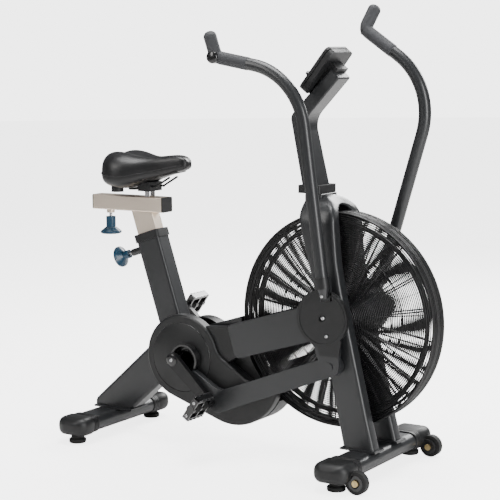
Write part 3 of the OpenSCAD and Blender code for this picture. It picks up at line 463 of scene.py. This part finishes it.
# ---------------------------------------------------------------- rounded frame pieces
def rounded_outline(points):
    """Rounds the corners of an outline of (x, z, radius) points, all in metres."""
    out = []
    n = len(points)
    for i, (x, z, r) in enumerate(points):
        here = Vector((x, z))
        if r <= 0:
            out.append(here)
            continue
        u = (Vector(points[i - 1][:2]) - here).normalized()
        w = (Vector(points[(i + 1) % n][:2]) - here).normalized()
        half = u.angle(w) / 2
        centre = here + (u + w).normalized() * r / math.sin(half)
        a0 = here + u * r / math.tan(half) - centre
        a1 = here + w * r / math.tan(half) - centre
        start = math.atan2(a0.y, a0.x)
        turn = (math.atan2(a1.y, a1.x) - start + math.pi) % (2 * math.pi) - math.pi
        steps = max(3, int(abs(turn) / math.radians(7)))
        out += [centre + Vector((math.cos(start + turn * k / steps), math.sin(start + turn * k / steps))) * r
                for k in range(steps + 1)]
    return out


def arc(centre, r, a0, a1, step=5):
    """Points on an arc in side view; angles in degrees."""
    n = max(2, int(abs(a1 - a0) / step))
    return [Vector((centre[0] + r * math.cos(math.radians(a0 + (a1 - a0) * k / n)),
                    centre[1] + r * math.sin(math.radians(a0 + (a1 - a0) * k / n)))) for k in range(n + 1)]


def slab(name, outline, y0, y1, edge, slot, body, segments=5):
    """A side-view outline given depth, with its long edges rounded by edge."""
    n = len(outline)
    verts = [(p[0], y, p[1]) for y in (y0, y1) for p in outline]
    faces = [tuple(range(n)), tuple(range(n, 2 * n))[::-1]]
    faces += [(i, (i + 1) % n, n + (i + 1) % n, n + i) for i in range(n)]
    obj = piece(name, verts, faces, slot, body, smooth=45)
    add_bevel(obj, edge, segments, 50)
    return obj


def between(table, z):
    """Straight-line value at z from rows of (value, z) that fall or rise in z."""
    rows = sorted(table, key=lambda row: row[1])
    z = min(max(z, rows[0][1]), rows[-1][1])
    for (v0, z0), (v1, z1) in zip(rows, rows[1:]):
        if z <= z1:
            return v0 + (v1 - v0) * (z - z0) / (z1 - z0)


def fork():
    """Both legs and the arch over the cage, as one tube of rounded rectangular section."""
    rear = [(0.211, 0.740), (0.232, 0.662), (0.256, 0.573), (0.360, 0.088)]
    front = [(0.330, 0.740), (0.338, 0.645), (0.352, 0.565), (0.441, 0.182), (0.466, 0.088)]
    arch_front = [(0.330, 0.740), (0.327, 0.775), (0.316, 0.805), (0.296, 0.826), (0.262, 0.842)]
    heights = [0.088, 0.135, 0.182, 0.26, 0.35, 0.45, 0.52, 0.552, 0.578, 0.61, 0.645, 0.68, 0.72]
    cuts = []
    for z in heights:
        cuts.append(((LEG_IN, z), (LEG_OUT, z), between(rear, z), between(front, z), between(front, z)))
    for k in range(25):
        a = math.pi * k / 24
        inner = (LEG_IN * math.cos(a), 0.760 + LEG_IN * math.sin(a))
        outer = (LEG_OUT * math.cos(a), 0.746 + LEG_OUT * math.sin(a))
        back = 0.204 + 0.007 * max(0.0, 1 - (outer[1] - 0.746) / 0.03)
        cuts.append((inner, outer, back, between(arch_front, inner[1]), between(arch_front, outer[1])))
    for z in heights[::-1]:
        cuts.append(((-LEG_IN, z), (-LEG_OUT, z), between(rear, z), between(front, z), between(front, z)))
    verts, faces = [], []
    corner = 7
    count = 4 * corner
    for inner, outer, x0, xi, xo in cuts:
        i, o = Vector((0, *inner)), Vector((0, *outer))
        depth = (o - i).length / 2
        half = ((xi + xo) / 2 - x0) / 2
        r = 0.013
        for q, (sx, sv) in enumerate(((1, 1), (-1, 1), (-1, -1), (1, -1))):
            for k in range(corner):
                a = math.pi / 2 * (q + k / (corner - 1))
                u = sx * (half - r) + r * math.cos(a)
                v = sv * (depth - r) + r * math.sin(a)
                share = (v / depth + 1) / 2
                width = (xi + (xo - xi) * share - x0) / 2
                p = i.lerp(o, share)
                verts.append((x0 + width + u / half * width, p.y, p.z))
    for s in range(len(cuts) - 1):
        for k in range(count):
            a, b = s * count + k, s * count + (k + 1) % count
            faces.append((a, b, b + count, a + count))
    faces += [tuple(range(count))[::-1], tuple((len(cuts) - 1) * count + k for k in range(count))]
    obj = piece("fork", verts, faces, "frame_metallic", "frame", smooth=50)
    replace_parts(obj, "leg_left", "leg_right", "yoke")
    slab("fork_neck", rounded_outline([(0.2035, 0.790, 0), (0.262, 0.790, 0), (0.262, 0.8425, 0.004),
                                       (0.2035, 0.8425, 0.004)]), -0.048, 0.048, 0.007, "frame_metallic",
         "frame")
    for side in (1, -1):
        boss = lathe([(0.050, 0.090), (0.050, 0.1145), (0.0485, 0.116), (0.015, 0.116), (0.015, 0.1305)],
                     (PIVOT.x, 0, PIVOT.z), (0, side, 0), 64)
        piece(f"pivot_boss_{side + 1}", *boss, "dark_plastic", "frame", smooth=40)


def frame_arms():
    slope = math.radians(16.7)
    along, across = Vector((math.cos(slope), math.sin(slope))), Vector((-math.sin(slope), math.cos(slope)))
    start = Vector((-0.038, 0.3686))
    corners = [(0.0, -0.054, 0.014), (0.34, -0.054, 0.001), (0.34, 0.054, 0.001), (0.0, 0.054, 0.014)]
    outline = rounded_outline([(*(start + along * u + across * v), r) for u, v, r in corners])
    right = slab("side_arm_right", outline, -LEG_OUT, -LEG_IN, 0.012, "frame_metallic", "frame")
    slab("side_arm_left", outline, LEG_IN, LEG_OUT, 0.012, "frame_metallic", "frame")
    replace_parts(right, "side_arms")
    mast_line = [(0.187, 0.843, 0), (0.243, 0.843, 0), (0.243, 0.866, 0), (0.196, 1.062, 0.066),
                 (0.316, 1.188, 0.006),
                 (0.286, 1.218, 0.006), (0.146, 1.074, 0.026), (0.187, 0.866, 0)]
    obj = slab("mast_tube", rounded_outline(mast_line), -0.0375, 0.0375, 0.008, "frame_metallic", "frame")
    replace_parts(obj, "mast")


def housing():
    """The drum and its long tail, one moulded shell with a broad rounded rim, and the flush round cover."""
    c = Vector((CRANK.x, CRANK.z))
    lobe = c + Vector((0.192, -0.026))
    hollow = c + Vector((0.188, 0.061))
    outline = arc(c, 0.137, 18, 251.6) + arc(lobe, 0.173, 251.6, 343.4)
    outline += [Vector((0.064, 0.2373)), Vector((0.007, 0.252)), Vector((-0.045, 0.2852))]
    outline += arc(hollow, 0.060, 237.5, 200)
    obj = slab("housing_shell", outline, -0.0836, -0.041, 0.013, "dark_plastic", "frame", 6)
    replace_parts(obj, "housing_right", "crank_covers")
    neck = arc((CRANK.x, CRANK.z), 0.100, 105, 280) + arc((0.020, 0.386), 0.035, -80, 105)
    slab("belt_neck", neck, -0.071, -0.050, 0.005, "dark_plastic", "frame")
    for side, reach in ((-1, 0.1105), (1, 0.0888)):
        disc = lathe([(reach, 0.080), (reach, 0.0840), (reach - 0.0012, 0.0848), (0.0145, 0.0848),
                      (0.0145, 0.080)],
                     (CRANK.x, 0, CRANK.z), (0, side, 0), 120)
        piece(f"crank_cover_{side + 1}", *disc, "dark_plastic", "frame", smooth=40)
        piece(f"cover_groove_{side + 1}",
              *ring((CRANK.x, CRANK.z), reach + 0.0011, 0.0011, side * 0.0836, 140, 6),
              "gloss_black", "frame", smooth=60)


def link(side, label):
    shift = Vector((0, 0)) if side == -1 else Vector((-2 * THROW, 0.0013))
    front = Vector((0.337, 0.337)) + shift
    bend = Vector((-0.078, 0.176)) + shift
    neck = Vector((-0.195, 0.262)) + shift
    eye = Vector((CRANK.x + THROW, CRANK.z)) + Vector((shift.x, 0))

    def heading(v):
        return math.degrees(math.atan2(v.y, v.x))

    def towards(a):
        return Vector((math.cos(math.radians(a)), math.sin(math.radians(a))))

    bar, rise = heading(bend - front) % 360, heading(neck - bend)
    low1, high1 = bar + 90, bar - 90
    low2, high2 = rise + 85.3, rise - 85.3
    p, d = bend + towards(high1) * 0.033, (bend - front).normalized()
    q, e = bend + towards(high2) * 0.033, (neck - bend).normalized()
    cross = d.x * e.y - d.y * e.x
    s = ((q - p).x * e.y - (q - p).y * e.x) / cross
    crotch = p + d * s

    def at_ring(start, way):
        k = 0.0
        while (start + way * k - eye).length > 0.0468 and k < 0.3:
            k += 0.0005
        return start + way * k

    top = at_ring(q, (neck + towards(high2) * 0.021 - q).normalized())
    low_start = bend + towards(low2) * 0.033
    low = at_ring(low_start, (neck + towards(low2) * 0.021 - low_start).normalized())
    a0, a1 = heading(top - eye), heading(low - eye)
    if a1 > a0:
        a1 -= 360
    outline = arc(front, 0.030, low1 - 360, high1) + [crotch + (front - crotch).normalized() * 0.012,
                                                      crotch + e * 0.012]
    outline += arc(eye, 0.0468, a0, a1) + arc(bend, 0.033, low2, low1, 6)
    y0, y1 = sorted((side * 0.0965, side * 0.118))
    obj = slab(f"link_bar_{label}", outline, y0, y1, 0.0075, "frame_metallic", f"link_{label}")
    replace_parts(obj, f"link_{label}")
    band = lathe([(0.0436, 0.0966), (0.0436, 0.1178), (0.0495, 0.1178), (0.0505, 0.1168), (0.0505, 0.0976),
                  (0.0495, 0.0966)], (eye.x, 0, eye.y), (0, side, 0), 96, closed=True)
    piece(f"link_ring_{label}", *band, "gloss_black", f"link_{label}", smooth=40)


def cap(name, x, side, y_in, y_out):
    """Moulded end cap of a stabilizer, with a ribbed neck and a rounded outer end."""
    stations = [(y_in, 0.054, 0.0285, 0.026)]
    for k in range(3):
        y = y_in + 0.006 + 0.008 * k
        stations += [(y, 0.056, 0.0295, 0.028), (y + 0.0045, 0.056, 0.0295, 0.028),
                     (y + 0.0055, 0.0545, 0.0285, 0.027),
                     (y + 0.0072, 0.0545, 0.0285, 0.027)]
    stations.append((y_in + 0.036, 0.058, 0.031, 0.026))
    for k in range(17):
        a = math.pi / 2 * k / 16
        wide, high = 0.044 * (1 - math.cos(a)), 0.024 * (1 - math.cos(a))
        stations.append((y_out - 0.036 + 0.036 * math.sin(a), 0.058 - wide, 0.031 - high,
                         max(0.006, 0.026 - high)))
    verts, faces, corner = [], [], 7
    count = 4 * corner
    for y, half_w, half_h, r in stations:
        for q, (sx, sz) in enumerate(((1, 1), (-1, 1), (-1, -1), (1, -1))):
            for k in range(corner):
                a = math.pi / 2 * (q + k / (corner - 1))
                verts.append((x + sx * (half_w - r) + r * math.cos(a), side * y,
                              0.057 + sz * (half_h - r) + r * math.sin(a)))
    for s in range(len(stations) - 1):
        for k in range(count):
            a, b = s * count + k, s * count + (k + 1) % count
            faces.append((a, b, b + count, a + count))
    faces += [tuple(range(count))[::-1], tuple((len(stations) - 1) * count + k for k in range(count))]
    return piece(name, verts, faces, "dark_plastic", "frame", smooth=40)


def grip(side, label, angle):
    """Sleeve on the lever's top run, turning up into the rounded end of the grip."""
    corner = Vector((ELBOW[0], side * 0.145, ELBOW[1]))
    back = Vector((0.984, 0, -0.179))
    rise = Vector((-0.006, side * 0.024, 0.066))
    up = rise.normalized()
    line = [(corner + back * 0.118, 0.0192), (corner + back * 0.1172, 0.0200), (corner + back * 0.11, GRIP_R),
            (corner + back * 0.07, GRIP_R), (corner + back * 0.03, GRIP_R)]
    for k in range(9):
        s = k / 8
        line.append((corner + back * 0.020 * (1 - s) ** 2 + up * 0.020 * s * s, GRIP_R))
    line += [(corner + up * d, GRIP_R) for d in (0.032, 0.048, 0.060, 0.066)]
    line += [(corner + up * (0.066 + 0.0160 * math.sin(math.radians(a))),
              max(0.0003, GRIP_R * math.cos(math.radians(a))))
             for a in range(10, 91, 10)]
    verts, faces = tube([turn_about_pivot(p, angle) for p, _ in line], [r for _, r in line], 40)
    obj = piece(f"grip_sleeve_{label}", verts, faces, "foam", f"lever_{label}", smooth=60)
    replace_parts(obj, f"grip_{label}")


def caps():
    for side in (-1, 1):
        rear = cap(f"rear_cap_{side + 1}", -0.575, side, 0.150, 0.252)
        front = cap(f"front_cap_{side + 1}", 0.420, side, 0.175, 0.295)
        lug = arc((0.492, 0.034), 0.022, -90, 90) + [Vector((0.470, 0.056)), Vector((0.470, 0.028)),
                                                     Vector((0.478, 0.020))]
        slab(f"wheel_lug_{side + 1}", lug, *sorted((side * 0.2215, side * 0.2295)), 0.002, "dark_plastic",
             "frame", 3)
    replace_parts(front, "front_end_caps")
    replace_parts(rear, "rear_end_caps")


def fan():
    """Hub, tapered blades and a thin hoop inside the cage."""
    parts = [lathe([(0.0105, -0.030), (0.038, -0.030), (0.038, 0.030), (0.0105, 0.030)], (FAN.x, 0, FAN.z),
                   (0, 1, 0), 64,
                   closed=True),
             lathe([(0.285, -0.005), (0.297, -0.005), (0.297, 0.005), (0.285, 0.005)], (FAN.x, 0, FAN.z),
                   (0, 1, 0), 144,
                   closed=True)]
    for i in range(26):
        a = 2 * math.pi * (i + 0.5) / 26
        out, flat = Vector((math.cos(a), 0, math.sin(a))), Vector((-math.sin(a), 0, math.cos(a))) * 0.0007
        verts = [tuple(Vector((FAN.x, y, FAN.z)) + out * r + flat * s)
                 for r, y in ((0.036, -0.0155), (0.036, 0.0155), (0.287, 0.005), (0.287, -0.005))
                 for s in (-1, 1)]
        parts.append((verts, [(0, 2, 4, 6), (1, 7, 5, 3), (0, 1, 3, 2), (2, 3, 5, 4), (4, 5, 7, 6),
                              (6, 7, 1, 0)]))
    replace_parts(piece("fan_blades", *join(parts), "blade", "fan", smooth=30), "fan_wheel")


fan()
caps()
fork()
frame_arms()
housing()
link(-1, "right")
link(1, "left")
for side, label in ((-1, "right"), (1, "left")):
    grip(side, label, 0 if side == -1 else SPLIT)
    elbow = turn_about_pivot((ELBOW[0], 0, ELBOW[1]), 0 if side == -1 else SPLIT)
    plug = lathe([(0.0196, 0.150), (0.0196, 0.1655), (0.0185, 0.1695), (0.0145, 0.1722), (0.0075, 0.1735),
                  (0.0002, 0.174)],
                 (elbow.x, 0, elbow.z), (0, side, 0), 48)
    piece(f"elbow_plug_{label}", *plug, "gloss_black", f"lever_{label}", smooth=50)


# ---------------------------------------------------------------- stage, lights and camera
def stage():
    mesh = bpy.data.meshes.new("floor")
    steps = 96
    mesh.from_pydata([(24 * math.cos(2 * math.pi * k / steps), 24 * math.sin(2 * math.pi * k / steps),
                       -0.0002)
                      for k in range(steps)], [], [tuple(range(steps))])
    floor = bpy.data.objects.new("floor", mesh)
    bpy.context.scene.collection.objects.link(floor)
    paint = new_material("floor_paint", (0.92, 0.91, 0.90), 0.6, mottle=(0.6, 0.015),
                         grain=(30, 0.008, 0.0001))
    surface = next(n for n in paint.node_tree.nodes if n.type == "BSDF_PRINCIPLED")
    surface.inputs["Emission Color"].default_value = (1, 1, 1, 1)
    camera_ray = paint.node_tree.nodes.new("ShaderNodeLightPath")
    glow = paint.node_tree.nodes.new("ShaderNodeMath")
    glow.operation = "MULTIPLY"
    glow.inputs[1].default_value = 3.6
    paint.node_tree.links.new(camera_ray.outputs["Is Camera Ray"], glow.inputs[0])
    paint.node_tree.links.new(glow.outputs["Value"], surface.inputs["Emission Strength"])
    mesh.materials.append(paint)
    world = bpy.data.worlds.new("studio")
    bpy.context.scene.world = world
    world.use_nodes = True
    nodes, links = world.node_tree.nodes, world.node_tree.links
    soft = nodes["Background"]
    soft.inputs["Color"].default_value = (0.96, 0.975, 1.0, 1)
    soft.inputs["Strength"].default_value = 0.18
    seen = nodes.new("ShaderNodeBackground")
    seen.inputs["Color"].default_value = (1, 1, 1, 1)
    seen.inputs["Strength"].default_value = 4.2
    path = nodes.new("ShaderNodeLightPath")
    mix = nodes.new("ShaderNodeMixShader")
    links.new(path.outputs["Is Camera Ray"], mix.inputs["Fac"])
    links.new(soft.outputs["Background"], mix.inputs[1])
    links.new(seen.outputs["Background"], mix.inputs[2])
    links.new(mix.outputs["Shader"], nodes["World Output"].inputs["Surface"])

    def area(name, at, target, size, power, colour=(1, 1, 1)):
        light = bpy.data.lights.new(name, "AREA")
        light.shape = "RECTANGLE"
        light.size, light.size_y = size
        light.energy = power
        light.color = colour
        obj = bpy.data.objects.new(name, light)
        bpy.context.scene.collection.objects.link(obj)
        obj.location = at
        obj.rotation_mode = "QUATERNION"
        obj.rotation_quaternion = (Vector(target) - Vector(at)).to_track_quat("-Z", "Y")

    area("key", (-1.6, -3.2, 3.0), (0, 0, 0.6), (1.2, 2.8), 70, (1, 0.98, 0.96))
    area("side", (3.6, -1.2, 1.6), (0.1, 0, 0.6), (0.8, 2.8), 110)
    area("back", (0.2, 3.4, 2.6), (0, 0, 0.8), (3.0, 1.2), 190)
    area("top", (0, 0, 4.2), (0, 0, 0), (2.2, 2.2), 190)


def camera():
    """Stands ahead and to the right of the machine, a little above the saddle, and looks back at it."""
    forward = Vector((-0.5386, 0.8322, -0.1319)).normalized()
    right = forward.cross(Vector((0, 0, 1))).normalized()
    up = right.cross(forward)
    roll = math.radians(-0.45)
    right, up = right * math.cos(roll) + up * math.sin(roll), up * math.cos(roll) - right * math.sin(roll)
    cam = bpy.data.cameras.new("camera")
    cam.lens = 107.5
    cam.sensor_width = 36
    cam.clip_end = 200
    obj = bpy.data.objects.new("camera", cam)
    bpy.context.scene.collection.objects.link(obj)
    matrix = Matrix((right, up, -forward)).transposed().to_4x4()
    matrix.translation = Vector((2.5055, -3.9110, 1.2690))
    obj.matrix_world = matrix
    bpy.context.scene.camera = obj


stage()
camera()
bpy.context.view_layer.update()
